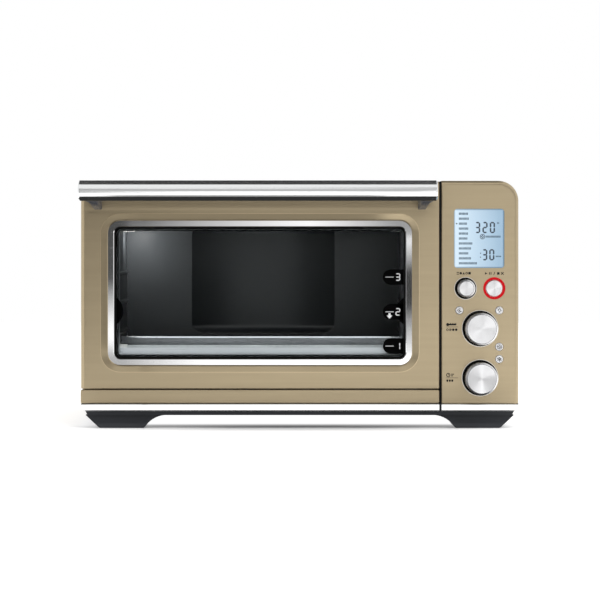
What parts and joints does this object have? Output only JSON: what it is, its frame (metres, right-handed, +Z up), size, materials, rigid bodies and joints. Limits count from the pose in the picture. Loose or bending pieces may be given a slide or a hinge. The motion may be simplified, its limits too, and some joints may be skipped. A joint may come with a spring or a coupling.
{
  "type": "air fryer toaster oven",
  "caption": "Countertop convection oven with a drop-down glass door, tube handle, lit display, dials, push buttons and a slide-out crumb tray.",
  "frame": {"origin": "on the counter, under the middle of the whole object's box", "axes": "+X to the right along the front, +Y to the rear, +Z up"},
  "size_m": [0.48, 0.404, 0.2716],
  "materials": {
    "champagne_paint": "satin champagne coat",
    "dark_base": "matt dark grey",
    "polished_steel": "polished",
    "brushed_aluminium": "brushed, satin",
    "inner_steel": "plain rolled sheet",
    "cavity_coating": "dark non-stick coat",
    "screw_steel": "zinc plated",
    "rubber": "matt black",
    "black_plastic": "fine matt black",
    "clear_glass": "clear tempered",
    "quartz_glass": "satin quartz",
    "ceramic": "white glazed ceramic",
    "display_lens": "clear over a pale blue display",
    "circuit_board": "green laminate",
    "knob_metal": "spun face, brushed rim",
    "red_light": "clear red",
    "magnet": "nickel plated"
  },
  "bodies": {
    "oven_body": {"outer_shell": "champagne_paint", "rear_cover": "champagne_paint", "cover_screws": "screw_steel", "cord_gland": "black_plastic", "base_pan": "dark_base", "base_trims": "polished_steel", "front_feet": "dark_base", "rear_feet": "dark_base", "foot_pads": "rubber", "front_frame": "inner_steel", "cavity_left_wall": "cavity_coating", "cavity_right_wall": "cavity_coating", "cavity_ceiling": "cavity_coating", "cavity_floor": "inner_steel", "cavity_back": "cavity_coating", "compartment_wall": "inner_steel", "top_heater_tubes": "quartz_glass", "bottom_heater_tubes": "quartz_glass", "heater_end_caps": "ceramic", "temperature_probe": "inner_steel", "fan_housing": "inner_steel", "fan_motor": "magnet", "hinge_brackets": "inner_steel", "control_panel": "champagne_paint", "gap_strip": "black_plastic", "display_window": "display_lens", "display_module": "black_plastic", "control_board": "circuit_board", "rotary_encoders": "magnet", "push_switches": "black_plastic", "power_board": "circuit_board", "knob_cups": "black_plastic", "start_light_ring": "red_light"},
    "door": {"door_frame": "champagne_paint", "window_trim": "polished_steel", "window_gasket": "rubber", "door_glass": "clear_glass", "door_inner_panel": "inner_steel", "door_handle": "brushed_aluminium", "handle_end_caps": "brushed_aluminium", "handle_brackets": "brushed_aluminium", "hinge_arms": "inner_steel", "hinge_pins": "screw_steel", "rack_magnets": "magnet"},
    "tray": {"crumb_tray": "inner_steel", "crumb_tray_front": "champagne_paint"},
    "function_dial": {"function_knob": "knob_metal", "function_shaft": "screw_steel"},
    "temperature_dial": {"temperature_knob": "knob_metal", "temperature_shaft": "screw_steel"},
    "time_dial": {"time_knob": "knob_metal", "time_shaft": "screw_steel"},
    "start_key": {"start_button": "knob_metal"},
    "fan": {"fan_wheel": "inner_steel", "fan_shaft": "screw_steel"},
    "option_key_1": {"option_button_1": "knob_metal"},
    "option_key_2": {"option_button_2": "knob_metal"},
    "option_key_3": {"option_button_3": "knob_metal"},
    "option_key_4": {"option_button_4": "knob_metal"}
  },
  "joints": [
    {"name": "door_hinge", "type": "hinge", "parent": "oven_body", "child": "door", "pos_m": [0, -0.1496, 0.0555], "axis": [1, 0, 0], "range_deg": [0, 85]},
    {"name": "crumb_tray_slide", "type": "slide", "parent": "oven_body", "child": "tray", "axis": [0, -1, 0], "range_m": [0, 0.17]},
    {"name": "function_turn", "type": "hinge", "parent": "oven_body", "child": "function_dial", "pos_m": [0.1815, -0.1546, 0.1537], "axis": [0, 1, 0], "continuous": true},
    {"name": "temperature_turn", "type": "hinge", "parent": "oven_body", "child": "temperature_dial", "pos_m": [0.1975, -0.1546, 0.1097], "axis": [0, 1, 0], "continuous": true},
    {"name": "time_turn", "type": "hinge", "parent": "oven_body", "child": "time_dial", "pos_m": [0.1975, -0.1546, 0.0557], "axis": [0, 1, 0], "continuous": true},
    {"name": "start_press", "type": "slide", "parent": "oven_body", "child": "start_key", "axis": [0, 1, 0], "range_m": [0, 0.0012], "stiffness_N_per_m": 400, "springref_m": -0.0006},
    {"name": "option_press_1", "type": "slide", "parent": "oven_body", "child": "option_key_1", "axis": [0, 1, 0], "range_m": [0, 0.0012], "stiffness_N_per_m": 400, "springref_m": -0.0006},
    {"name": "option_press_2", "type": "slide", "parent": "oven_body", "child": "option_key_2", "axis": [0, 1, 0], "range_m": [0, 0.0012], "stiffness_N_per_m": 400, "springref_m": -0.0006},
    {"name": "option_press_3", "type": "slide", "parent": "oven_body", "child": "option_key_3", "axis": [0, 1, 0], "range_m": [0, 0.0012], "stiffness_N_per_m": 400, "springref_m": -0.0006},
    {"name": "option_press_4", "type": "slide", "parent": "oven_body", "child": "option_key_4", "axis": [0, 1, 0], "range_m": [0, 0.0012], "stiffness_N_per_m": 400, "springref_m": -0.0006},
    {"name": "fan_spin", "type": "hinge", "parent": "oven_body", "child": "fan", "pos_m": [0.143, 0.02, 0.1512], "axis": [1, 0, 0], "continuous": true}
  ]
}
